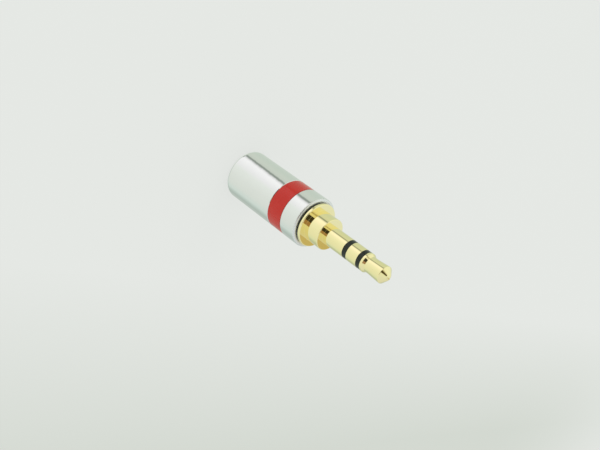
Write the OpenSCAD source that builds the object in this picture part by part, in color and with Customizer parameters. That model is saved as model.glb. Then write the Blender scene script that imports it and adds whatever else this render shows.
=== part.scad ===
// Stereo jack plug, 3.5 mm, three contacts, with a screw-on metal shell.
// It stands on the rear end of its shell: z = 0 is the rear face, and the contacts point up along +Z.

/* [Shell] */
// Outside diameter of the shell
shell_d = 9.4; // [9.2:0.1:11]
// Length of the shell, from its rear face to its mouth
shell_l = 19.2; // [18:0.1:24]
// Thickness of the wall that closes the rear end
rear_wall = 1.2; // [0.8:0.1:2]
// Radius of the rounded rear edge
rear_round = 0.9; // [0.4:0.1:1.2]
// Radius of the rounded edge at the mouth
mouth_round = 0.4; // [0.1:0.05:0.45]
// Diameter of the cable hole in the rear end
cable_hole_d = 4.4; // [3:0.1:5]
// Chamfer on both ends of the cable hole
cable_hole_chamfer = 0.25; // [0.1:0.05:0.35]

/* [Colour band] */
// Width of the enamelled band
band_w = 3.45; // [2:0.05:5]
// Distance from the band to the shell's mouth
band_back = 3.7; // [2.5:0.1:6]
// Depth of the groove that the enamel fills
band_depth = 0.12; // [0.08:0.01:0.25]

/* [Shell thread] */
// Wall of the shell round its thread
thread_wall = 0.85; // [0.75:0.05:0.95]
// Length of the boss, from the flange to its rear face
thread_l = 5.2; // [4:0.1:6.5]
// Running clearance of the thread, all round
thread_gap = 0.05; // [0.02:0.01:0.08]
// Width of the relief groove between the thread and the flange
relief_w = 0.6; // [0.4:0.1:1]
// Depth of the relief groove
relief_depth = 0.4; // [0.2:0.05:0.6]
// Chamfer where the thread starts
thread_chamfer = 0.35; // [0.2:0.05:0.5]

/* [Flange and collar] */
// How far the flange stays inside the shell's outside, all round
flange_inset = 0.6; // [0.1:0.02:0.64]
// Thickness of the flange
flange_t = 0.5; // [0.4:0.05:1.5]
// Radius of the flange's rounded front edge
flange_round = 0.16; // [0.1:0.02:0.3]
// Thickness of the black washer between the shell's mouth and the flange
mouth_washer_t = 0.3; // [0.15:0.05:0.5]
// How far that washer stays inside the flange's edge
mouth_washer_inset = 0.08; // [0.04:0.02:0.2]
// Diameter of the collar in front of the flange
collar_d = 5.9; // [5:0.1:6.5]
// Length of the collar
collar_l = 3.25; // [2:0.05:4]
// Rounding of the collar's front edge
collar_round = 0.12; // [0.05:0.01:0.25]

/* [Contacts] */
// Diameter of the plug's shaft
shaft_d = 3.5; // [3.4:0.05:3.6]
// Length of the sleeve contact, in front of the collar
sleeve_l = 4.8; // [4:0.1:6]
// Width of the insulator between sleeve and ring
ring_insulator_l = 0.95; // [0.6:0.05:1.2]
// Length of the ring contact
ring_l = 2.35; // [1.8:0.05:3]
// Width of the insulator between ring and tip
tip_insulator_l = 0.9; // [0.6:0.05:1.2]
// Length of the tip contact
tip_l = 5.3; // [4.8:0.1:6]

/* [Tip shape] */
// Length of the shoulder that has the shaft's diameter
shoulder_l = 0.45; // [0.3:0.05:0.8]
// Diameter of the neck that the socket's spring drops into
neck_d = 2.85; // [2.2:0.05:2.9]
// Length of the slope from the shoulder to the neck
neck_slope_l = 0.5; // [0.3:0.05:0.7]
// Length of the neck
neck_l = 0.65; // [0.3:0.05:0.9]
// Diameter of the bulb, between the neck and the nose
bulb_d = 3.2; // [3:0.05:3.4]
// Width of the bulb's full-diameter edge
bulb_l = 0.12; // [0.05:0.01:0.2]
// Half angle of the nose's cone, in degrees
nose_angle = 48; // [40:1:60]
// Radius of the rounded end
nose_r = 1.1; // [0.4:0.05:1.2]

/* [Contact stems] */
// Wall of the sleeve contact round its bore
sleeve_wall = 0.4; // [0.3:0.05:0.5]
// Wall of the outer insulating tube
outer_tube_wall = 0.29; // [0.2:0.01:0.35]
// Wall of the ring contact's stem
ring_stem_wall = 0.28; // [0.2:0.01:0.35]
// Diameter of the tip contact's stem
tip_stem_d = 0.84; // [0.6:0.02:1]
// Clearance between each stem and its tube, all round
stem_gap = 0.03; // [0.01:0.01:0.05]

/* [Rear terminals] */
// Thickness of the ground clamp's sheet
clamp_t = 0.35; // [0.25:0.05:0.5]
// Width of the ground clamp's riveted ring
clamp_ring_w = 0.77; // [0.5:0.01:0.9]
// How far the spigot stands out behind the ring
spigot_proud = 0.15; // [0.1:0.05:0.3]
// Thickness of the fibre washers
washer_t = 0.8; // [0.5:0.1:1.2]
// How far the first washer stays inside the clamp's strip
body_washer_inset = 0.25; // [0.15:0.05:0.4]
// How much narrower the washer behind the ring terminal is, all round
lug_washer_step = 0.7; // [0.5:0.05:0.9]
// Thickness of the solder terminals
lug_t = 0.3; // [0.2:0.05:0.4]
// Width of the solder terminals
lug_w = 1.6; // [1.2:0.1:2]
// Distance from each eye's edge to the bend
lug_shoulder = 0.1; // [0.05:0.05:0.3]
// Length of the ring terminal's tongue
ring_lug_l = 4; // [3:0.1:5]
// How much nearer the axis the tip terminal's tongue is than the ring terminal's
tip_lug_step = 0.6; // [0.4:0.05:0.7]
// Length of the tip terminal's tongue
tip_lug_l = 3.6; // [2.6:0.1:4]
// Inside radius of the bends in the terminals
lug_bend = 0.25; // [0.15:0.05:0.35]
// Diameter of the solder holes
solder_hole_d = 0.7; // [0.5:0.05:0.9]
// Diameter of the swaged end of the ring contact's stem
swage_d = 2.6; // [2.4:0.1:3]
// Thickness of that swaged end
swage_t = 0.15; // [0.1:0.05:0.25]
// Diameter of the rivet head on the tip contact's stem
rivet_d = 1.5; // [1.3:0.1:1.9]
// Height of the rivet head
rivet_t = 0.3; // [0.2:0.05:0.4]

/* [Cable clamp] */
// How far the clamp's saddle starts in front of the shell's rear wall
saddle_start = 1.4; // [1:0.1:2]
// Length of the saddle that grips the cable
saddle_l = 2.8; // [2:0.1:3.2]
// Angle that the saddle's wings wrap round the cable, in degrees
saddle_angle = 230; // [200:5:250]
// Angle that the strip between saddle and ring covers, in degrees
strip_angle = 44; // [30:2:60]
// Clearance between the clamp and the liner, all round
clamp_gap = 0.3; // [0.2:0.05:0.4]

/* [Liner] */
// How much narrower the shell's bore is behind the thread, all round
bore_step = 0.25; // [0.15:0.05:0.3]
// Wall of the insulating liner
liner_wall = 0.3; // [0.2:0.05:0.4]
// Clearance between the liner and the shell, all round
liner_gap = 0.05; // [0.02:0.01:0.1]
// Distance from the liner's end to the threaded boss
liner_short = 0.3; // [0.2:0.1:0.6]

/* [Hidden] */
$fn = 96;
cut = 1;                                     // how far a cutting shape runs past what it cuts
shell_r = shell_d / 2;
thread_bore_r = shell_r - thread_wall;
boss_r = thread_bore_r - thread_gap;
shell_bore_r = thread_bore_r - bore_step;
liner_r = shell_bore_r - liner_gap;
liner_bore_r = liner_r - liner_wall;
clamp_r = liner_bore_r - clamp_gap;          // outside of the ground clamp
clamp_bore_r = clamp_r - clamp_ring_w;       // hole in its riveted ring
strip_r = clamp_r - clamp_t;                 // inner face of its strip and saddle
spigot_r = clamp_bore_r - stem_gap;
band_top = shell_l - band_back;
band_r = shell_r - band_depth;               // floor of the band's groove
fill_gap = 0.01;                             // thickness of the enamel's bond

// heights of the plug, from the shell's mouth to the tip
z_flange = shell_l + mouth_washer_t;
z_collar = z_flange + flange_t;
z_sleeve = z_collar + collar_l;
z_ring_insulator = z_sleeve + sleeve_l;
z_ring = z_ring_insulator + ring_insulator_l;
z_tip_insulator = z_ring + ring_l;
z_tip = z_tip_insulator + tip_insulator_l;
z_end = z_tip + tip_l;

// heights behind the mouth, each piece seated on the one before
z_boss = shell_l - thread_l;                 // rear face of the threaded boss
z_spigot = z_boss - clamp_t - spigot_proud;
z_body_washer = z_spigot - washer_t;
z_ring_lug = z_body_washer - lug_t;
z_swage = z_ring_lug - swage_t;
z_lug_washer = z_swage - washer_t;
z_tip_lug = z_lug_washer - lug_t;
z_rivet = z_tip_lug - rivet_t;

// radii of the contact stack, from the outside in
shaft_r = shaft_d / 2;
sleeve_bore_r = shaft_r - sleeve_wall;
outer_tube_r = sleeve_bore_r - stem_gap;
outer_tube_bore_r = outer_tube_r - outer_tube_wall;
ring_stem_r = outer_tube_bore_r - stem_gap;
ring_bore_r = ring_stem_r - ring_stem_wall;
inner_tube_r = ring_bore_r - stem_gap;
tip_stem_r = tip_stem_d / 2;
inner_tube_bore_r = tip_stem_r + stem_gap;

// radii of what sits in the shell
flange_r = shell_r - flange_inset;
mouth_washer_r = flange_r - mouth_washer_inset;
body_washer_r = strip_r - body_washer_inset;
lug_washer_r = body_washer_r - lug_washer_step;
ring_lug_reach = strip_r - lug_t;            // its tongue stands level with the clamp's strip
tip_lug_reach = ring_lug_reach - tip_lug_step;

// A ring of square section, from radius r_in to r_out and from height z0 to z1
module ring(r_in, r_out, z0, z1) {
    rotate_extrude() translate([r_in, z0]) square([r_out - r_in, z1 - z0]);
}

// Half section of a cylinder with its top outer edge rounded, for a revolve
module rounded_top(r, z0, z1, round) {
    translate([0, z0]) square([r, z1 - z0 - round]);
    translate([0, z0]) square([r - round, z1 - z0]);
    translate([r - round, z1 - round]) circle(round);
}

// Outline of the shell before it is bored: a cylinder with both outer edges rounded
module shell_outline() {
    translate([0, rear_round]) square([shell_r, shell_l - rear_round - mouth_round]);
    square([shell_r - rear_round, shell_l / 2]);
    translate([0, shell_l / 2]) square([shell_r - mouth_round, shell_l / 2]);
    translate([shell_r - rear_round, rear_round]) circle(rear_round);
    translate([shell_r - mouth_round, shell_l - mouth_round]) circle(mouth_round);
}

// What is cut from the shell: cable hole, liner bore, thread bore and the band's groove
module shell_cuts() {
    hole_r = cable_hole_d / 2;
    c = cable_hole_chamfer;
    thread_end = z_boss - liner_short;
    polygon([
        [0, -cut], [hole_r + c + cut, -cut], [hole_r, c], [hole_r, rear_wall - c],
        [hole_r + c, rear_wall], [shell_bore_r, rear_wall], [shell_bore_r, thread_end],
        [thread_bore_r, thread_end], [thread_bore_r, shell_l + cut], [0, shell_l + cut]
    ]);
    translate([band_r, band_top - band_w]) square([band_depth + cut, band_w]);
}

module shell() {
    color("gainsboro") rotate_extrude() difference() {
        intersection() {
            shell_outline();
            square([shell_r, shell_l]);
        }
        shell_cuts();
    }
}

module colour_band() {
    color("crimson") ring(band_r + fill_gap, shell_r, band_top - band_w, band_top);
}

// Insulating tube that keeps the solder terminals off the shell
module liner_tube() {
    color("ivory") ring(liner_bore_r, liner_r, rear_wall, z_boss - liner_short);
}

// One turned piece: sleeve contact, collar, flange and threaded boss, bored through
module plug_body() {
    relief_r = boss_r - relief_depth;
    color("gold") rotate_extrude() difference() {
        union() {
            square_from(0, spigot_r, z_spigot, z_boss);
            polygon([
                [0, z_boss], [boss_r - thread_chamfer, z_boss], [boss_r, z_boss + thread_chamfer],
                [boss_r, shell_l - relief_w - thread_chamfer], [relief_r, shell_l - relief_w],
                [relief_r, z_flange], [0, z_flange]
            ]);
            rounded_top(flange_r, z_flange, z_collar, flange_round);
            rounded_top(collar_d / 2, z_collar, z_sleeve, collar_round);
            square_from(0, shaft_r, z_sleeve, z_ring_insulator);
        }
        square_from(0, sleeve_bore_r, z_spigot - cut, z_ring_insulator + cut);
    }
}

// Washer between the shell's mouth and the flange
module mouth_washer() {
    color("#1c2420") ring(thread_bore_r, mouth_washer_r, shell_l, z_flange);
}

// A rectangle given by its radii and heights, for a revolve
module square_from(r0, r1, z0, z1) {
    translate([r0, z0]) square([r1 - r0, z1 - z0]);
}

// Moulded insulator: a collar that shows on the shaft, and a tube behind it
module insulator(bore_r, tube_r, z_rear, z_collar_start, z_collar_end) {
    color("#1c2420") rotate_extrude() {
        square_from(bore_r, tube_r, z_rear, z_collar_start);
        square_from(bore_r, shaft_r, z_collar_start, z_collar_end);
    }
}

module ring_insulator() {
    insulator(outer_tube_bore_r, outer_tube_r, z_spigot, z_ring_insulator, z_ring);
}

module tip_insulator() {
    insulator(inner_tube_bore_r, inner_tube_r, z_swage, z_tip_insulator, z_tip);
}

// Ring contact: the visible ring, its tubular stem, and the stem's swaged end
module ring_contact() {
    color("gold") rotate_extrude() {
        square_from(ring_bore_r, swage_d / 2, z_swage, z_ring_lug);
        square_from(ring_bore_r, ring_stem_r, z_ring_lug, z_ring);
        square_from(ring_bore_r, shaft_r, z_ring, z_tip_insulator);
    }
}

// Tip contact: shoulder, neck, bulb and nose on a thin stem that is riveted at the rear
module tip_contact() {
    neck_z = z_tip + shoulder_l + neck_slope_l;
    nose_z = z_end - nose_r;                                 // centre of the rounded end
    touch_r = nose_r * cos(nose_angle);                      // where the cone meets the round
    touch_z = nose_z + nose_r * sin(nose_angle);
    cone_z = touch_z - (bulb_d / 2 - touch_r) / tan(nose_angle);
    color("gold") rotate_extrude() intersection() {
        union() {
            square_from(0, rivet_d / 2, z_rivet, z_tip_lug);
            square_from(0, tip_stem_r, z_rivet, z_tip);
            polygon([
                [0, z_tip], [shaft_r, z_tip], [shaft_r, z_tip + shoulder_l], [neck_d / 2, neck_z],
                [neck_d / 2, neck_z + neck_l], [bulb_d / 2, cone_z - bulb_l], [bulb_d / 2, cone_z],
                [touch_r, touch_z], [0, touch_z]
            ]);
            translate([0, nose_z]) circle(nose_r);
        }
        square([shaft_r, z_end]);
    }
}

module body_washer() {
    color("saddlebrown") ring(ring_stem_r + stem_gap, body_washer_r, z_body_washer, z_spigot);
}

module lug_washer() {
    color("saddlebrown") ring(tip_stem_r + stem_gap, lug_washer_r, z_lug_washer, z_swage);
}

// Side view of a bent strip: out along the eye, round the bend and back along the tongue
module bent_strip(reach, drop) {
    bend_r = lug_bend + lug_t;
    translate([0, -lug_t]) square([reach - lug_bend, lug_t]);
    translate([reach, -bend_r - drop]) square([lug_t, drop]);
    translate([reach - lug_bend, -bend_r]) intersection() {
        difference() {
            circle(bend_r);
            circle(lug_bend);
        }
        square(bend_r + cut);
    }
}

// Solder terminal: an eye round the stem, and a tongue bent back with a hole for the wire.
// z is the front face of the eye. The tongue lies on the +Y side.
module solder_lug(hole_r, reach, tongue_l, z) {
    bend_r = lug_bend + lug_t;
    eye_r = reach - lug_bend - lug_shoulder;
    tongue_end = z - tongue_l;
    difference() {
        union() {
            translate([0, 0, z - lug_t]) cylinder(h = lug_t, r = eye_r);
            intersection() {
                translate([-lug_w / 2, 0, z]) rotate([90, 0, 90])
                    linear_extrude(lug_w) bent_strip(reach, tongue_l - bend_r);
                rotate([-90, 0, 0]) linear_extrude(reach + lug_t + cut) mirror([0, 1, 0]) {
                    translate([0, tongue_end + lug_w / 2]) circle(lug_w / 2);
                    translate([-lug_w / 2, tongue_end + lug_w / 2]) square([lug_w, tongue_l]);
                }
            }
        }
        translate([0, 0, z - lug_t - cut]) cylinder(h = lug_t + 2 * cut, r = hole_r);
        translate([0, reach - cut, tongue_end + lug_w / 2]) rotate([-90, 0, 0])
            cylinder(h = lug_t + 2 * cut, d = solder_hole_d);
    }
}

module ring_lug() {
    color("goldenrod") solder_lug(ring_stem_r + stem_gap, ring_lug_reach, ring_lug_l, z_body_washer);
}

module tip_lug() {
    color("goldenrod") rotate([0, 0, 180])
        solder_lug(tip_stem_r + stem_gap, tip_lug_reach, tip_lug_l, z_lug_washer);
}

// What is cut from the clamp's tube, so that only the stated angle of it is left, centred on -X
module opening(angle_left, z0, z1) {
    rotate([0, 0, angle_left / 2 - 180]) rotate_extrude(angle = 360 - angle_left)
        square_from(clamp_bore_r / 2, clamp_r + cut, z0, z1);
}

// Ground terminal: a riveted ring, a rolled strip, and a saddle whose wings close on the cable
module ground_clamp() {
    saddle_z = rear_wall + saddle_start;
    saddle_top = saddle_z + saddle_l;
    color("gold") difference() {
        rotate_extrude() {
            square_from(clamp_bore_r, clamp_r, z_boss - clamp_t, z_boss);
            square_from(strip_r, clamp_r, saddle_z, z_boss);
        }
        opening(saddle_angle, saddle_z - cut, saddle_top + cut);
        opening(strip_angle, saddle_top, z_boss - clamp_t);
    }
}

shell();
colour_band();
liner_tube();
plug_body();
mouth_washer();
ring_insulator();
ring_contact();
tip_insulator();
tip_contact();
body_washer();
ring_lug();
lug_washer();
tip_lug();
ground_clamp();
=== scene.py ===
"""Looks for the stereo jack plug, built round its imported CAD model.

The plug stands on the rear end of its shell, with its axis on the Z axis. Profiles are in
millimetres as (radius, height) pairs, and meshes are in metres.
"""

import math

import bmesh
import bpy
from mathutils import Matrix, Vector


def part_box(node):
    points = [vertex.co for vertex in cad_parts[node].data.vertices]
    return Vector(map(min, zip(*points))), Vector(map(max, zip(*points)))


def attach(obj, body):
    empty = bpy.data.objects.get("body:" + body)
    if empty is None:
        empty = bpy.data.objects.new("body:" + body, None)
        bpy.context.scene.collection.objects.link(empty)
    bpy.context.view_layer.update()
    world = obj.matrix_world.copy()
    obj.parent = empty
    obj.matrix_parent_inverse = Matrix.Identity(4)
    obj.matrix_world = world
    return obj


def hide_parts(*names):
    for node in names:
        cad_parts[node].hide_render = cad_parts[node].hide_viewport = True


bl_info = {
    "name": "Stereo jack plug",
    "version": (1, 0, 0),
    "blender": (4, 5, 0),
    "location": "3D View > Sidebar > Jack plug",
    "description": "Builds the plug's shell, contacts and insulators, with their finishes and a small studio",
    "category": "Add Mesh",
}

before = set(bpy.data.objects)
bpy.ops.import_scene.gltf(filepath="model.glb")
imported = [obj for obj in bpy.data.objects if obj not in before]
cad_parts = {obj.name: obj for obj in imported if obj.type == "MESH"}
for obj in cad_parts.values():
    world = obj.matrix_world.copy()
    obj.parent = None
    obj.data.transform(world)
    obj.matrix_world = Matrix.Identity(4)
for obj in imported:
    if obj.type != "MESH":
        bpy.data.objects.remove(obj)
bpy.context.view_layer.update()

MM = 0.001
TAU = 2 * math.pi
SEGMENTS = 192          # columns of a turned piece
ARC_STEPS = 5           # faces across a rounded edge
HOLD = 0.03             # distance from a rounded edge to the ring that holds the flat beside it, mm
THREAD_ROWS = 20        # rows of the thread's surface in one pitch
FINISHED = "_finish"    # ending of the detailed materials' names

PICTURE_W, PICTURE_H = 600, 450     # the main picture, in pixels
PICTURE_SCALE = 5.81                # its pixels per mm at the middle of the shell's mouth
MOUTH_X, MOUTH_Y = 314.44, 223.57   # where it shows that point


def extent(node):
    """(outside radius, lowest height, highest height) of a turned CAD node, in mm."""
    low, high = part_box(node)
    return high.x / MM, low.z / MM, high.z / MM


SHELL_R, _, MOUTH_Z = extent("shell")
BAND_R, BAND_Z0, BAND_Z1 = extent("colour_band")
LINER_R, REAR_WALL, LINER_Z1 = extent("liner_tube")
FLANGE_R, SPIGOT_Z, SLEEVE_Z1 = extent("plug_body")
WASHER_R, _, FLANGE_Z0 = extent("mouth_washer")
SHAFT_R, SWAGE_Z, RING_Z1 = extent("ring_contact")
RING_Z0 = extent("ring_insulator")[2]
TIP_Z0 = extent("tip_insulator")[2]
_, RIVET_Z, END_Z = extent("tip_contact")


# ---------------------------------------------------------------- sizes and colours

class JackSizes(bpy.types.PropertyGroup):
    """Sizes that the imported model's boxes don't give."""

    flange_t: bpy.props.FloatProperty(
        name="Flange", description="Thickness of the flange", default=0.5 * MM,
        unit="LENGTH", precision=5)
    collar_r: bpy.props.FloatProperty(
        name="Collar radius", description="Radius of the collar", default=2.95 * MM,
        unit="LENGTH", precision=5)
    collar_l: bpy.props.FloatProperty(
        name="Collar length", description="Length of the collar", default=3.25 * MM,
        unit="LENGTH", precision=5)
    thread_r: bpy.props.FloatProperty(
        name="Thread radius", description="Radius of the thread's bore in the shell", default=3.85 * MM,
        unit="LENGTH", precision=5)
    thread_gap: bpy.props.FloatProperty(
        name="Thread clearance", description="Clearance of the thread, all round", default=0.05 * MM,
        unit="LENGTH", precision=5)
    pitch: bpy.props.FloatProperty(
        name="Pitch", description="Advance of the thread in one turn", default=0.75 * MM,
        unit="LENGTH", precision=5)
    thread_depth: bpy.props.FloatProperty(
        name="Thread depth", description="Height of the thread's ridges", default=0.3 * MM,
        unit="LENGTH", precision=5)
    edge: bpy.props.FloatProperty(
        name="Edge rounding", description="Rounding of the contacts' turned edges", default=0.05 * MM,
        unit="LENGTH", precision=5)


class JackColours(bpy.types.PropertyGroup):
    """Colours of the finishes."""

    chrome: bpy.props.FloatVectorProperty(
        name="Chrome", description="Colour of the shell's plating", subtype="COLOR",
        default=(0.785, 0.79, 0.78))
    gold: bpy.props.FloatVectorProperty(
        name="Gold", description="Colour of the contacts' plating", subtype="COLOR",
        default=(0.92, 0.835, 0.475))
    enamel: bpy.props.FloatVectorProperty(
        name="Enamel", description="Colour of the band", subtype="COLOR",
        default=(0.55, 0.02, 0.012))
    insulator: bpy.props.FloatVectorProperty(
        name="Insulator", description="Colour of the moulded insulators", subtype="COLOR",
        default=(0.012, 0.016, 0.01))
    liner: bpy.props.FloatVectorProperty(
        name="Liner", description="Colour of the liner", subtype="COLOR",
        default=(0.8, 0.78, 0.68))
    fibre: bpy.props.FloatVectorProperty(
        name="Fibre", description="Colour of the fibre washers", subtype="COLOR",
        default=(0.25, 0.09, 0.035))
    brass: bpy.props.FloatVectorProperty(
        name="Brass", description="Colour of the solder terminals", subtype="COLOR",
        default=(0.8, 0.64, 0.34))


class JackStudio(bpy.types.PropertyGroup):
    """The camera and the floor."""

    lens: bpy.props.FloatProperty(
        name="Lens", description="Focal length", default=54.0, unit="CAMERA")
    azimuth: bpy.props.FloatProperty(
        name="Azimuth", description="Direction of the camera round the plug; 0 looks along +Y",
        default=math.radians(45), unit="ROTATION")
    elevation: bpy.props.FloatProperty(
        name="Elevation", description="Height of the camera above the horizon",
        default=math.radians(36.75), unit="ROTATION")
    lean: bpy.props.FloatProperty(
        name="Lean", description="Slope of the plug's axis in the picture, below the horizontal",
        default=math.radians(36.75), unit="ROTATION")
    floor: bpy.props.FloatVectorProperty(
        name="Floor", description="Colour of the floor and the backdrop", subtype="COLOR",
        default=(0.79, 0.81, 0.783))
    # Colour of the floor's painted shade, darkest at the lower edge of the picture.
    floor_shade: bpy.props.FloatVectorProperty(
        name="Floor edge", description="Colour of the floor at the lower edge of the picture",
        subtype="COLOR", default=(0.66, 0.695, 0.642))


# ---------------------------------------------------------------- shader sums

class Value:
    """A socket of a node tree, as a value in a sum: each operator adds its Math node."""

    def __init__(self, sheet, socket):
        self.sheet, self.socket = sheet, socket

    def __add__(self, other):
        return self.sheet.math("ADD", self, other)

    __radd__ = __add__

    def __sub__(self, other):
        return self.sheet.math("SUBTRACT", self, other)

    def __rsub__(self, other):
        return self.sheet.math("SUBTRACT", other, self)

    def __mul__(self, other):
        return self.sheet.math("MULTIPLY", self, other)

    __rmul__ = __mul__

    def __truediv__(self, other):
        return self.sheet.math("DIVIDE", self, other)

    def __rtruediv__(self, other):
        return self.sheet.math("DIVIDE", other, self)

    def __pow__(self, other):
        return self.sheet.math("POWER", self, other)

    def __rpow__(self, other):
        return self.sheet.math("POWER", other, self)

    def between(self, low, high):
        """0 below low, 1 above high, smooth in between."""
        return self.sheet.node("ShaderNodeMapRange", {"interpolation_type": "SMOOTHSTEP"},
                               {"Value": self, "From Min": low, "From Max": high})


class Sheet:
    """A node tree and the one method that adds nodes to it."""

    def __init__(self, tree):
        self.tree = tree
        tree.nodes.clear()

    def node(self, kind, settings=None, sockets=None, out=0):
        """Adds a node: settings first, then the values or links of its sockets. Gives one of its
        outputs, or nothing for a node without outputs."""
        made = self.tree.nodes.new(kind)
        for key, value in (settings or {}).items():
            if key == "stops":
                self.stops(made.color_ramp, value)
            else:
                setattr(made, key, value)
        for key, value in (sockets or {}).items():
            if isinstance(value, Value):
                self.tree.links.new(value.socket, made.inputs[key])
            else:
                made.inputs[key].default_value = value
        return Value(self, made.outputs[out]) if made.outputs else None

    def math(self, operation, *values):
        """A Math node of one to three values."""
        return self.node("ShaderNodeMath", {"operation": operation}, dict(enumerate(values)))

    @staticmethod
    def stops(ramp, stops):
        """Sets a ramp's stops: position and grey or colour, in rising order."""
        while len(ramp.elements) < len(stops):
            ramp.elements.new(1.0)
        for element, (position, tone) in zip(ramp.elements, stops):
            element.position = position
            element.color = (*tone, 1) if isinstance(tone, tuple) else (tone, tone, tone, 1)

    def mix(self, factor, first, second):
        """A colour between first and second."""
        sockets = {0: factor, 6: first, 7: second}
        for key in (6, 7):
            if not isinstance(sockets[key], Value):
                sockets[key] = (*sockets[key][:3], 1)
        return self.node("ShaderNodeMix", {"data_type": "RGBA"}, sockets, out=2)

    def vector(self, x, y, z):
        """A vector of three values."""
        return self.node("ShaderNodeCombineXYZ", None, {0: x, 1: y, 2: z})

    def dot(self, first, second):
        """The dot product of two vectors."""
        return self.node("ShaderNodeVectorMath", {"operation": "DOT_PRODUCT"},
                         {0: first, 1: second}, out="Value")


class Finish(Sheet):
    """A procedural material. Its coordinates are the object's own, in millimetres."""

    def __init__(self, name):
        self.material = bpy.data.materials.new(name + FINISHED)
        self.material.use_nodes = True
        super().__init__(self.material.node_tree)
        place = self.node("ShaderNodeTexCoord", out="Object")
        self.place = self.node("ShaderNodeVectorMath", {"operation": "SCALE"}, {0: place, "Scale": 1 / MM})
        split = self.node("ShaderNodeSeparateXYZ", None, {0: self.place}).socket.node
        x, y, z = (Value(self, socket) for socket in split.outputs)
        self.radius = (x * x + y * y) ** 0.5
        self.turn = self.math("ARCTAN2", y, x)
        self.height = z

    def noise(self, scale, detail=2.0, place=None, rough=0.5):
        """Noise from 0 to 1, in the object's place or another one."""
        return self.node("ShaderNodeTexNoise", None, {
            "Vector": place or self.place, "Scale": scale, "Detail": detail, "Roughness": rough})

    def tool_marks(self, fineness, wander=0.35):
        """Rings that a lathe tool leaves: they change along the axis and the radius, and little round
        the turn."""
        x, y = self.math("COSINE", self.turn), self.math("SINE", self.turn)
        place = self.vector(x * wander + self.radius * fineness, y * wander, self.height * fineness)
        return self.noise(1.0, 3.0, place, 0.6)

    def scratches(self, density, along_axis):
        """Thin hairlines, 1 on a line."""
        if along_axis:
            place = self.vector(self.turn * density, self.height * 0.25, 0.0)
        else:
            place = self.vector(self.turn * 1.2, self.height * density, self.radius * density)
        return self.noise(1.0, 4.0, place, 0.7).between(0.66, 0.74)

    def surface(self, heights, **sockets):
        """The Principled shader with its bumps. heights is a list of (height, depth in mm)."""
        normal = None
        for height, depth in heights:
            bump = {"Height": height, "Distance": depth * MM, "Strength": 1.0}
            if normal is not None:
                bump["Normal"] = normal
            normal = self.node("ShaderNodeBump", None, bump)
        names = {"color": "Base Color", "roughness": "Roughness", "metallic": "Metallic",
                 "specular": "Specular IOR Level", "coat": "Coat Weight", "coat_roughness": "Coat Roughness"}
        values = {names[key]: value for key, value in sockets.items()}
        if normal is not None:
            values["Normal"] = normal
        shader = self.node("ShaderNodeBsdfPrincipled", None, values)
        self.node("ShaderNodeOutputMaterial", None, {"Surface": shader})
        return self.material


def colour(name):
    """A colour that the panel shows, with its alpha."""
    return (*getattr(bpy.context.scene.jack_colours, name), 1.0)


def chrome_plate():
    """Bright plating over turned brass, smeared here and there."""
    f = Finish("chrome_plate")
    marks, cloud = f.tool_marks(14.0), f.noise(0.55, 2.0)
    smear = f.noise(0.9, 3.0).between(0.52, 0.72)
    hair = f.scratches(9.0, False)
    tint = f.mix(cloud, colour("chrome"), (0.76, 0.77, 0.76))
    mouth_edge = f.height.between(MOUTH_Z - 0.4, MOUTH_Z - 0.25)    # the rounding there is less polished
    rough = 0.025 + smear * 0.035 + hair * 0.08 + marks * 0.012 + mouth_edge * 0.38
    return f.surface([(cloud, 0.015), (marks, 0.0001)], color=tint, roughness=rough, metallic=1.0)


def gold_plate():
    """Bright gold plating over turned brass, with hairlines along the axis and round it."""
    f = Finish("gold_plate")
    marks, cloud = f.tool_marks(17.0), f.noise(0.7, 2.0)
    smear = f.noise(1.3, 3.0).between(0.5, 0.7)
    hair = f.scratches(26.0, True) * 0.6 + f.scratches(12.0, False) * 0.4
    tint = f.mix(cloud, colour("gold"), (0.91, 0.81, 0.43))
    tint = f.mix(hair * 0.25, tint, (0.82, 0.68, 0.32))
    rough = 0.018 + smear * 0.03 + hair * 0.08 + marks * 0.012
    return f.surface([(cloud, 0.003), (marks, 0.00008)], color=tint, roughness=rough, metallic=1.0)


def red_enamel():
    """Glossy enamel, darker towards the two edges of the band."""
    f = Finish("red_enamel")
    peel, cloud = f.noise(3.2, 2.0), f.noise(0.8, 2.0)
    middle, half = (BAND_Z0 + BAND_Z1) / 2, (BAND_Z1 - BAND_Z0) / 2
    edge = f.math("ABSOLUTE", f.height - middle).between(half - 0.225, half - 0.025)
    dust = f.noise(24.0, 2.0).between(0.74, 0.82)
    tint = f.mix(cloud, colour("enamel"), (0.6, 0.035, 0.025))
    tint = f.mix(edge * 0.5, tint, (0.35, 0.015, 0.012))
    tint = f.mix(dust * 0.15, tint, (0.8, 0.45, 0.4))
    rough = 0.22 + dust * 0.3 + cloud * 0.05
    coat = 0.3 - dust * 0.2
    return f.surface([(peel, 0.004)], color=tint, roughness=rough, specular=0.15,
                     coat=coat, coat_roughness=0.06)


def black_insulator():
    """Moulded plastic, semi-gloss."""
    f = Finish("black_insulator")
    grain, cloud = f.noise(22.0, 3.0), f.noise(1.6, 2.0)
    dust = f.noise(30.0, 1.0).between(0.7, 0.8)
    tint = f.mix(cloud, colour("insulator"), (0.02, 0.026, 0.018))
    tint = f.mix(dust * 0.25, tint, (0.16, 0.17, 0.16))
    rough = 0.2 + grain * 0.12 + dust * 0.3
    return f.surface([(grain, 0.0012)], color=tint, roughness=rough, specular=0.27)


def liner_plastic():
    """Drawn plastic tube."""
    f = Finish("liner_plastic")
    draw = f.noise(1.0, 3.0, f.vector(f.turn * 14.0, f.height * 0.3, 0.0))
    cloud = f.noise(1.2, 2.0)
    tint = f.mix(cloud * 0.6 + draw * 0.4, colour("liner"), (0.7, 0.67, 0.55))
    return f.surface([(draw, 0.004)], color=tint, roughness=0.42 + draw * 0.15)


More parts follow.
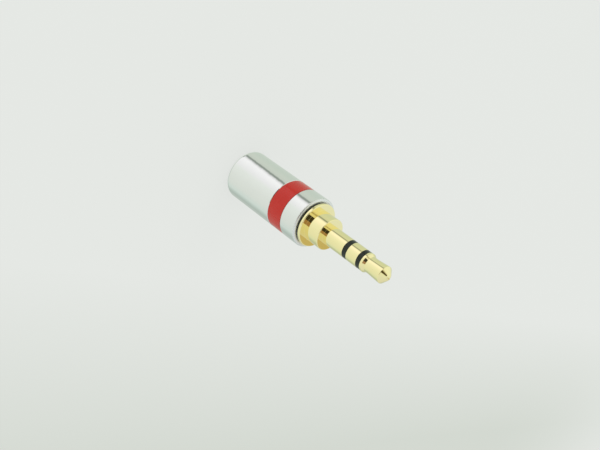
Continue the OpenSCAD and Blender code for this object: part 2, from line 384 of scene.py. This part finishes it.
def washer_fibre():
    """Pressed fibre with light specks."""
    f = Finish("washer_fibre")
    strands = f.noise(1.0, 4.0, f.vector(f.height * 14.0, f.turn * 3.0, f.radius * 5.0), 0.65)
    specks = f.noise(13.0, 2.0).between(0.6, 0.72)
    tint = f.mix(strands, colour("fibre"), (0.12, 0.04, 0.015))
    tint = f.mix(specks * 0.6, tint, (0.42, 0.2, 0.09))
    return f.surface([(strands, 0.012), (specks, 0.005)], color=tint, roughness=0.7 + strands * 0.15)


def terminal_brass():
    """Rolled sheet brass with dull stains."""
    f = Finish("terminal_brass")
    roll = f.noise(1.0, 3.0, f.vector(f.turn * 2.0, f.height * 16.0, f.radius * 16.0), 0.6)
    stain = f.noise(1.6, 3.0).between(0.45, 0.7)
    tint = f.mix(stain, colour("brass"), (0.55, 0.36, 0.17))
    tint = f.mix(roll * 0.3, tint, (0.88, 0.74, 0.45))
    rough = 0.24 + stain * 0.2 + roll * 0.08
    return f.surface([(roll, 0.0015)], color=tint, roughness=rough, metallic=1.0)


FINISHES = {make.__name__: make for make in (
    chrome_plate, gold_plate, red_enamel, black_insulator, liner_plastic, washer_fibre, terminal_brass)}


def finish(name):
    """The material of that name, made when it is first asked for."""
    return bpy.data.materials.get(name + FINISHED) or FINISHES[name]()


# ---------------------------------------------------------------- turned meshes

def rounded(*corners):
    """A run of a profile with rounded corners. A corner is (radius, height), or (radius, height,
    rounding). The first and last corners stay sharp."""
    path = []
    for i, corner in enumerate(corners):
        here, rounding = Vector(corner[:2]), (corner[2] if len(corner) > 2 else 0)
        if not rounding:
            path.append(here)
            continue
        before, after = Vector(corners[i - 1][:2]), Vector(corners[i + 1][:2])
        back, ahead = (before - here), (after - here)
        half = back.angle(ahead) / 2
        reach = min(rounding / math.tan(half), 0.48 * back.length, 0.48 * ahead.length)
        rounding = reach * math.tan(half)
        back.normalize()
        ahead.normalize()
        centre = here + (back + ahead).normalized() * (rounding / math.sin(half))
        start, end = here + back * reach - centre, here + ahead * reach - centre
        sweep = start.angle(end)
        for k in range(ARC_STEPS + 1):
            t = k / ARC_STEPS
            arm = start * math.sin((1 - t) * sweep) + end * math.sin(t * sweep)
            path.append(centre + arm / math.sin(sweep))
    held = path[:1]
    for here, after in zip(path, path[1:]):
        span = (after - here).length
        if span > 4 * HOLD:
            held += [here.lerp(after, HOLD / span), here.lerp(after, 1 - HOLD / span)]
        held.append(after)
    return [(p.x, p.y) for p in held]


def thread_profile(u):
    """Height of a 60 degree thread, 0 to 1, at u of its pitch: flat crest, flank, flat root, flank."""
    crest, flank = 0.14, 0.22
    off = abs((u % 1.0) - 0.5)
    return min(1.0, max(0.0, (crest / 2 + flank - off) / flank))


def thread_rows(low, high, root, crest, pitch, phase, fade):
    """Rows of a threaded surface: (radius as a function of the angle, height). The ridges rise from
    the root to the crest, and run out over the fade at both ends."""
    count = max(2, round((high - low) / pitch * THREAD_ROWS))
    rows = []
    for k in range(count + 1):
        z = low + (high - low) * k / count
        share = min(1.0, (z - low) / fade, (high - z) / fade)

        def radius(angle, z=z, share=share):
            return root + (crest - root) * share * thread_profile(z / pitch - angle / TAU + phase)

        rows.append((radius, z))
    return rows


def turned(name, profile):
    """A solid of revolution from a closed profile. A radius may be a function of the angle."""
    mesh = bmesh.new()
    angles = [TAU * k / SEGMENTS for k in range(SEGMENTS)]
    rings = []
    for radius, height in profile:
        if not callable(radius) and radius < 1e-6:
            rings.append([mesh.verts.new((0, 0, height * MM))] * SEGMENTS)
            continue
        ring = []
        for angle in angles:
            r = radius(angle) if callable(radius) else radius
            ring.append(mesh.verts.new((r * math.cos(angle) * MM, r * math.sin(angle) * MM, height * MM)))
        rings.append(ring)
    for low, high in zip(rings, rings[1:] + rings[:1]):
        for k in range(SEGMENTS):
            n = (k + 1) % SEGMENTS
            corners = list(dict.fromkeys((low[k], low[n], high[n], high[k])))
            if len(corners) > 2:
                mesh.faces.new(corners)
    bmesh.ops.recalc_face_normals(mesh, faces=mesh.faces)
    data = bpy.data.meshes.new(name)
    mesh.to_mesh(data)
    mesh.free()
    data.polygons.foreach_set("use_smooth", [True] * len(data.polygons))
    made = bpy.data.objects.new(name, data)
    bpy.context.scene.collection.objects.link(made)
    return made


def dress(piece, material):
    """Gives a piece its finish, in its one material slot."""
    piece.data.materials.clear()
    piece.data.materials.append(finish(material))


def place(piece, material, body, node):
    """Dresses a piece, and puts it on its body in the place of the CAD node that it stands for."""
    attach(piece, body)
    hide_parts(node)
    dress(piece, material)


# ---------------------------------------------------------------- pieces

class JACK_OT_shell(bpy.types.Operator):
    """Turned shell with its cable hole, band groove and inner thread"""

    bl_idname = "jack.shell"
    bl_label = "Shell"

    def execute(self, context):
        s = context.scene.jack_sizes
        hole, chamfer = 2.2, 0.25           # the cable hole
        groove, lip = 0.12, 0.08            # depth of the band's groove, chamfer of its edges
        rear_r, mouth_r = 0.9, 0.4          # roundings of the rear end and the mouth
        join = 3.2                          # radius at which the profile closes, on the rear face
        lead_in, gap = 0.6, 0.05            # plain mouth before the thread, gap between it and a ridge
        bore, thread, groove_r = LINER_R + 0.05, s.thread_r / MM, BAND_R - groove
        outside = rounded(
            (join, 0), (SHELL_R, 0, rear_r),
            (SHELL_R, BAND_Z0 - lip, 0.02), (SHELL_R - lip, BAND_Z0, 0.01), (groove_r, BAND_Z0),
            (groove_r, BAND_Z1), (SHELL_R - lip, BAND_Z1, 0.01), (SHELL_R, BAND_Z1 + lip, 0.02),
            (SHELL_R, MOUTH_Z, mouth_r), (thread, MOUTH_Z, 0.08), (thread, MOUTH_Z - lead_in),
        )
        inside = rounded(
            (thread, LINER_Z1), (bore, LINER_Z1, 0.03), (bore, REAR_WALL, 0.08),
            (hole + chamfer, REAR_WALL, 0.03), (hole, REAR_WALL - chamfer, 0.03),
            (hole, chamfer, 0.03), (hole + chamfer, 0, 0.03), (join - 0.1, 0),
        )
        ridges = thread_rows(LINER_Z1 + gap, MOUTH_Z - lead_in - gap, root=thread,
                             crest=thread - s.thread_depth / MM, pitch=s.pitch / MM, phase=0.5, fade=0.5)
        cover = turned("shell_cover", outside + ridges[::-1] + inside)
        place(cover, "chrome_plate", "shell", "shell")
        return {"FINISHED"}


class JACK_OT_band(bpy.types.Operator):
    """Enamelled band in the shell's groove"""

    bl_idname = "jack.band"
    bl_label = "Colour band"

    def execute(self, context):
        recess, crown, depth, slit = 0.012, 0.01, 0.11, 0.01
        low, high, skin = BAND_Z0 + slit, BAND_Z1 - slit, BAND_R - recess
        profile = rounded(
            (BAND_R - depth, low), (skin - crown, low, 0.05), (skin, (low + high) / 2),
            (skin - crown, high, 0.05), (BAND_R - depth, high),
        )
        place(turned("enamel_band", profile), "red_enamel", "shell", "colour_band")
        return {"FINISHED"}


class JACK_OT_body(bpy.types.Operator):
    """Turned body: sleeve contact, collar, flange and threaded boss"""

    bl_idname = "jack.body"
    bl_label = "Plug body"

    def execute(self, context):
        s = context.scene.jack_sizes
        edge, crest = s.edge / MM, (s.thread_r - s.thread_gap) / MM
        root, relief = crest - s.thread_depth / MM - 0.02, crest - 0.4
        bore, bore_end = 1.35, 0.3          # bore for the stems, and its stretch beside each end
        spigot_r, curl = 2.15, 0.16         # spigot, and the lip that rivets the clamp on it
        boss_z, relief_z = LINER_Z1 + 0.3, MOUTH_Z - 0.62
        collar_z = FLANGE_Z0 + s.flange_t / MM
        collar_r, collar_end = s.collar_r / MM, collar_z + s.collar_l / MM
        rear = rounded(
            (bore, SPIGOT_Z + bore_end), (bore, SPIGOT_Z, 0.04), (spigot_r - 0.05, SPIGOT_Z, 0.05),
            (spigot_r + curl, SPIGOT_Z + 0.1, 0.05), (spigot_r, SPIGOT_Z + curl), (spigot_r, boss_z),
            (crest - 0.35, boss_z, 0.04), (root, boss_z + 0.1),
        )
        front = rounded(
            (root, relief_z - 0.06), (relief, relief_z, 0.04), (relief, FLANGE_Z0, 0.08),
            (FLANGE_R, FLANGE_Z0, 0.06), (FLANGE_R, collar_z, 0.16), (collar_r, collar_z, 0.015),
            (collar_r, collar_end, 0.12), (SHAFT_R, collar_end, 0.015), (SHAFT_R, SLEEVE_Z1, edge),
            (bore, SLEEVE_Z1, 0.02), (bore, SLEEVE_Z1 - bore_end),
        )
        ridges = thread_rows(boss_z + 0.12, relief_z - 0.08, root=root, crest=crest,
                             pitch=s.pitch / MM, phase=0.0, fade=0.3)
        body = turned("turned_body", rear + ridges + front)
        place(body, "gold_plate", "plug", "plug_body")
        return {"FINISHED"}


class JACK_OT_insulators(bpy.types.Operator):
    """Black insulators on the shaft, and the washer behind the flange"""

    bl_idname = "jack.insulators"
    bl_label = "Insulators"

    def execute(self, context):
        recess, waist, bore_end, edge = 0.01, 0.012, 0.2, 0.035
        skin = SHAFT_R - recess
        for name, node, low, high, tube, bore, rear in (
            ("ring_collar", "ring_insulator", SLEEVE_Z1, RING_Z0, 1.32, 1.03, SPIGOT_Z),
            ("tip_collar", "tip_insulator", RING_Z1, TIP_Z0, 0.69, 0.45, SWAGE_Z),
        ):
            profile = rounded(
                (bore, rear + bore_end), (bore, rear, 0.02), (tube, rear, 0.03), (tube, low),
                (skin, low, edge), (skin - waist, (low + high) / 2), (skin, high, edge),
                (bore, high, 0.02), (bore, high - bore_end),
            )
            place(turned(name, profile), "black_insulator", "plug", node)
        bore, edge, bore_end = context.scene.jack_sizes.thread_r / MM, 0.03, 0.1
        profile = rounded(
            (bore, MOUTH_Z + bore_end), (bore, MOUTH_Z, edge), (WASHER_R, MOUTH_Z, edge),
            (WASHER_R, FLANGE_Z0, edge), (bore, FLANGE_Z0, edge), (bore, FLANGE_Z0 - bore_end),
        )
        place(turned("flange_washer", profile), "black_insulator", "plug", "mouth_washer")
        return {"FINISHED"}


class JACK_OT_contacts(bpy.types.Operator):
    """Ring and tip contacts with their stems"""

    bl_idname = "jack.contacts"
    bl_label = "Ring and tip"

    def execute(self, context):
        edge = context.scene.jack_sizes.edge / MM
        place(turned("ring_band", self.ring(edge)), "gold_plate", "plug", "ring_contact")
        place(turned("tip_point", self.tip(edge)), "gold_plate", "plug", "tip_contact")
        return {"FINISHED"}

    def ring(self, edge):
        """Ring with its tubular stem, swaged over at the rear end."""
        stem, bore, swage, swage_l = 1.0, 0.72, 1.3, 0.15
        return rounded(
            (bore, SWAGE_Z + 0.2), (bore, SWAGE_Z, 0.03), (swage, SWAGE_Z, 0.06),
            (swage, SWAGE_Z + swage_l, 0.04), (stem, SWAGE_Z + swage_l), (stem, RING_Z0),
            (SHAFT_R, RING_Z0, edge), (SHAFT_R, RING_Z1, edge), (bore, RING_Z1),
        )

    def tip(self, edge):
        """Rivet head, stem, shoulder, neck, bulb, and a cone that meets a round nose at its lean."""
        head, head_l, stem = 0.75, 0.3, 0.42
        shoulder_l, slope_l, neck_l = 0.45, 0.5, 0.65
        neck, bulb, nose = 1.425, 1.6, 1.1
        lean, steps = math.radians(48), 8

        def on_nose(angle):
            return nose * math.cos(angle), END_Z - nose + nose * math.sin(angle)

        touch_r, touch_z = on_nose(lean)
        cone_z = touch_z - (bulb - touch_r) / math.tan(lean)
        neck_z = TIP_Z0 + shoulder_l + slope_l
        cap = [on_nose(lean + k * (math.pi / 2 - lean) / steps) for k in range(1, steps)]
        return rounded(
            (0, RIVET_Z), (0.45, RIVET_Z, 0.1), (head, RIVET_Z + 0.22, 0.08),
            (head, RIVET_Z + head_l, 0.02), (stem, RIVET_Z + head_l), (stem, TIP_Z0),
            (SHAFT_R, TIP_Z0, edge), (SHAFT_R, TIP_Z0 + shoulder_l, 0.08),
            (neck, neck_z, 0.12), (neck, neck_z + neck_l, 0.6),
            (bulb, cone_z - 0.12, 0.5), (bulb, cone_z, 0.12), (touch_r, touch_z), *cap, (0, END_Z),
        )


class JACK_OT_terminals(bpy.types.Operator):
    """Finishes of the pieces inside the shell, which keep their CAD shapes"""

    bl_idname = "jack.terminals"
    bl_label = "Inner pieces"

    def execute(self, context):
        for node, material in (
            ("liner_tube", "liner_plastic"), ("body_washer", "washer_fibre"), ("lug_washer", "washer_fibre"),
            ("ring_lug", "terminal_brass"), ("tip_lug", "terminal_brass"), ("ground_clamp", "gold_plate"),
        ):
            dress(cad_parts[node], material)
        return {"FINISHED"}


# ---------------------------------------------------------------- studio

def camera_axes(studio):
    """Right, up and back of the camera, the level direction to it from the plug, and the one that lies
    a quarter turn on from that round the plug's axis."""
    toward = Vector((math.sin(studio.azimuth), -math.cos(studio.azimuth), 0))
    axis = Vector((0, 0, 1))
    side = axis.cross(toward)
    back = toward * math.cos(studio.elevation) + axis * math.sin(studio.elevation)
    along = axis * math.cos(studio.elevation) - toward * math.sin(studio.elevation)
    right = along * math.cos(studio.lean) - side * math.sin(studio.lean)
    up = -along * math.sin(studio.lean) - side * math.cos(studio.lean)
    return right, up, back, toward, side


def sheet_of(thing, name):
    """The sheet of a new material on a thing of the stage."""
    material = bpy.data.materials.new(name)
    material.use_nodes = True
    thing.data.materials.append(material)
    return Sheet(material.node_tree)


CORNERS = ((-1, -1), (1, -1), (1, 1), (-1, 1))


def flat(name, corners):
    """An object of one face."""
    mesh = bpy.data.meshes.new(name)
    mesh.from_pydata(corners, [], [(0, 1, 2, 3)])
    made = bpy.data.objects.new(name, mesh)
    bpy.context.scene.collection.objects.link(made)
    return made


def card(name, centre, right, up, size, tone):
    """A flat card that only reflections see."""
    w, h = size[0] / 2, size[1] / 2
    made = flat(name, [centre + right * x * w + up * y * h for x, y in CORNERS])
    made.visible_camera = made.visible_diffuse = made.visible_shadow = made.visible_transmission = False
    sheet = sheet_of(made, name)
    glow = sheet.node("ShaderNodeEmission", None, {"Color": (*tone, 1), "Strength": 1.0})
    sheet.node("ShaderNodeOutputMaterial", None, {"Surface": glow})


class JACK_OT_studio(bpy.types.Operator):
    """Camera, floor, lamp and surroundings"""

    bl_idname = "jack.studio"
    bl_label = "Studio"

    def execute(self, context):
        studio = context.scene.jack_studio
        right, up, back, toward, side = camera_axes(studio)
        on_floor = self.camera(context.scene, studio, right, up, back)
        self.floor(studio, on_floor)
        self.surroundings(studio, toward, side)
        self.lamp(toward, side)
        return {"FINISHED"}

    def camera(self, scene, studio, right, up, back):
        """Puts the middle of the shell's mouth where the picture has it, at the distance that gives its
        scale. Dark cards behind the camera give the metal its dark reflections. Gives a function that
        finds the floor's point behind a pixel."""
        data = bpy.data.cameras.new("camera")
        data.lens = studio.lens
        data.clip_start = 0.01
        focal = studio.lens / data.sensor_width * PICTURE_W     # in pixels
        depth = focal / PICTURE_SCALE * MM
        made = bpy.data.objects.new("camera", data)
        scene.collection.objects.link(made)
        mouth = Vector((0, 0, MOUTH_Z * MM))

        def look(x, y):
            return right * (x - PICTURE_W / 2) / focal - up * (y - PICTURE_H / 2) / focal - back

        spot = mouth - look(MOUTH_X, MOUTH_Y) * depth
        turn = Matrix((right, up, back)).transposed().to_4x4()
        made.matrix_world = Matrix.Translation(spot) @ turn
        scene.camera = made
        along = right * math.cos(studio.lean) - up * math.sin(studio.lean)
        across = right * math.sin(studio.lean) + up * math.cos(studio.lean)
        behind = spot + back * 0.004
        for name, (x, y), size, tone in (       # place and size along the plug's axis and across it
            ("camera_shade", (0.015, 0.0215), (0.12, 0.093), (0.05, 0.045, 0.035)),
            ("sleeve_shade", (0.015, -0.0625), (0.12, 0.075), (0.4, 0.26, 0.17)),
            ("boom_shade", (0.105, 0.033), (0.06, 0.062), (0.1, 0.075, 0.03)),
        ):
            card(name, behind + along * x + across * y, along, across, size, tone)
        return lambda x, y: spot + look(x, y) * (spot.z / -look(x, y).z)

    def floor(self, studio, on_floor):
        """Pale floor that takes a faint shadow and that no metal reflects. It has painted shade, darkening
        from a row of the picture down to its lower edge, and is pale again beyond the picture."""
        reach, first_row, middle_row = 1.5, 295, 375
        glow_share = 0.8
        made = flat("floor", [(x * reach, y * reach, 0) for x, y in CORNERS])
        made.visible_glossy = False
        sheet = sheet_of(made, "floor")
        start, end = on_floor(PICTURE_W / 2, first_row), on_floor(PICTURE_W / 2, PICTURE_H)
        row = on_floor(PICTURE_W, middle_row) - on_floor(0, middle_row)
        fall = row.cross(Vector((0, 0, 1)))
        fall /= (end - start).dot(fall)
        place = sheet.node("ShaderNodeTexCoord", out="Object")
        along = sheet.dot(place, fall) - start.dot(fall)        # 0 at the start, 1 at the end
        away = sheet.node("ShaderNodeVectorMath", {"operation": "LENGTH"}, {0: place}, out="Value")
        near = (1.0 - along.between(1.2, 3.5)) * (1.0 - away.between(0.18, 0.36))
        # Painted shade on the floor: it grows from the first row down to the picture's lower edge and fades
        # out beyond it.
        painted_shade = sheet.math("MAXIMUM", sheet.math("MINIMUM", along, 1.0), 0.0) * near
        tint = sheet.mix(painted_shade, studio.floor, studio.floor_shade)
        shader = sheet.node("ShaderNodeBsdfPrincipled", None,
                            {"Base Color": tint, "Roughness": 1.0, "Specular IOR Level": 0.0})
        glow = sheet.node("ShaderNodeEmission", None, {"Color": tint, "Strength": 1.0})
        seen = sheet.node("ShaderNodeLightPath", out="Is Camera Ray")
        shown = sheet.node("ShaderNodeMixShader", None, {0: seen * glow_share, 1: shader, 2: glow})
        sheet.node("ShaderNodeOutputMaterial", None, {"Surface": shown})

    def surroundings(self, studio, toward, side):
        """A world that is even for diffuse light, plain for the camera, and for reflections a tent with a
        seam and a dim side. Its ramps run once round the plug, from the side away from the camera:
        around for what lies level or below, above for what lies higher."""
        world = bpy.data.worlds.new("tent")
        bpy.context.scene.world = world
        world.use_nodes = True
        sheet = Sheet(world.node_tree)
        ray = sheet.node("ShaderNodeTexCoord", out="Generated")
        ahead, across, rise = (sheet.dot(ray, way) for way in (toward, side, Vector((0, 0, 1))))
        bearing = sheet.math("ARCTAN2", across, ahead) / TAU + 0.5
        # The seam leans, so that it shows as a line along the shell.
        slant = (0.5 - rise.between(-0.7, -0.585)) * (1.0 - bearing.between(0.38, 0.48))
        around = sheet.node("ShaderNodeValToRGB", {"stops": [
            (0.0, (0.66, 0.72, 0.65)), (0.17, (0.67, 0.76, 0.66)), (0.25, (0.72, 0.79, 0.69)),
            (0.295, (0.7, 0.76, 0.67)), (0.311, (0.34, 0.385, 0.34)), (0.325, (0.34, 0.385, 0.34)),
            (0.345, 0.95), (0.368, 1.15), (0.4, 1.12), (0.45, 1.04), (0.5, (0.955, 1.0, 0.94)),
            (0.6, (0.89, 0.935, 0.87)), (0.7, (0.85, 0.9, 0.83)), (0.78, (0.76, 0.86, 0.79)),
            (0.82, (0.6, 0.7, 0.63)), (0.86, (0.52, 0.6, 0.54)), (0.9, (0.57, 0.64, 0.58)),
            (0.94, (0.55, 0.61, 0.56)), (1.0, (0.66, 0.72, 0.65)),
        ]}, {"Fac": bearing + slant * 0.036})
        above = sheet.node("ShaderNodeValToRGB", {"stops": [
            (0.0, (0.6, 0.5, 0.24)), (0.003, (0.84, 0.9, 0.91)), (0.2, (0.96, 1.02, 0.95)),
            (0.31, (0.95, 0.98, 0.9)), (0.335, (0.8, 0.8, 0.7)), (0.35, (0.5, 0.46, 0.34)),
            (0.362, (0.5, 0.46, 0.34)), (0.38, (0.88, 0.9, 0.8)), (0.5, (0.86, 0.9, 0.8)),
            (0.62, (0.85, 0.9, 0.86)), (0.8, (0.8, 0.84, 0.86)), (0.965, (0.76, 0.78, 0.74)),
            (0.99, (0.6, 0.5, 0.24)), (1.0, (0.6, 0.5, 0.24)),
        ]}, {"Fac": bearing})
        tent = sheet.mix(rise.between(-0.25, 0.2), around, above)
        even = (0.93, 0.95, 0.93)
        path = sheet.node("ShaderNodeLightPath").socket.node
        glossy, seen = (Value(sheet, path.outputs[name]) for name in ("Is Glossy Ray", "Is Camera Ray"))
        shown = sheet.mix(glossy, even, tent)
        shown = sheet.mix(seen, shown, studio.floor)
        light = sheet.node("ShaderNodeBackground", None, {"Color": shown, "Strength": 1.0})
        sheet.node("ShaderNodeOutputWorld", None, {"Surface": light})

    def lamp(self, toward, side):
        """One broad soft lamp, above and to the right of the picture."""
        data = bpy.data.lights.new("soft_lamp", "AREA")
        data.shape, data.size, data.energy = "DISK", 0.35, 0.25
        made = bpy.data.objects.new("soft_lamp", data)
        bpy.context.scene.collection.objects.link(made)
        made.visible_glossy = False
        spot = (toward * 0.1 - side * 0.5 + Vector((0, 0, 0.6))) * 0.8
        made.matrix_world = Matrix.Translation(spot) @ spot.to_track_quat("Z", "Y").to_matrix().to_4x4()


# ---------------------------------------------------------------- panel and run

PIECES = (JACK_OT_shell, JACK_OT_band, JACK_OT_body, JACK_OT_insulators, JACK_OT_contacts, JACK_OT_terminals,
          JACK_OT_studio)
GROUPS = {"jack_sizes": JackSizes, "jack_colours": JackColours, "jack_studio": JackStudio}


class JACK_PT_panel(bpy.types.Panel):
    """Lists the pieces, the sizes and the colours"""

    bl_label = "Jack plug"
    bl_idname = "JACK_PT_panel"
    bl_space_type = "VIEW_3D"
    bl_region_type = "UI"
    bl_category = "Jack plug"

    def draw(self, context):
        for piece in PIECES:
            self.layout.operator(piece.bl_idname)
        for name, group in GROUPS.items():
            box = self.layout.box()
            for field in group.__annotations__:
                box.prop(getattr(context.scene, name), field)


CLASSES = (*GROUPS.values(), *PIECES, JACK_PT_panel)


def register():
    for made in CLASSES:
        bpy.utils.register_class(made)
    for name, group in GROUPS.items():
        setattr(bpy.types.Scene, name, bpy.props.PointerProperty(type=group))


def unregister():
    for name in GROUPS:
        delattr(bpy.types.Scene, name)
    for made in reversed(CLASSES):
        bpy.utils.unregister_class(made)


def main():
    register()
    bpy.context.scene.view_settings.view_transform = "Standard"
    for piece in PIECES:
        space, name = piece.bl_idname.split(".")
        getattr(getattr(bpy.ops, space), name)()


if __name__ == "__main__":
    main()
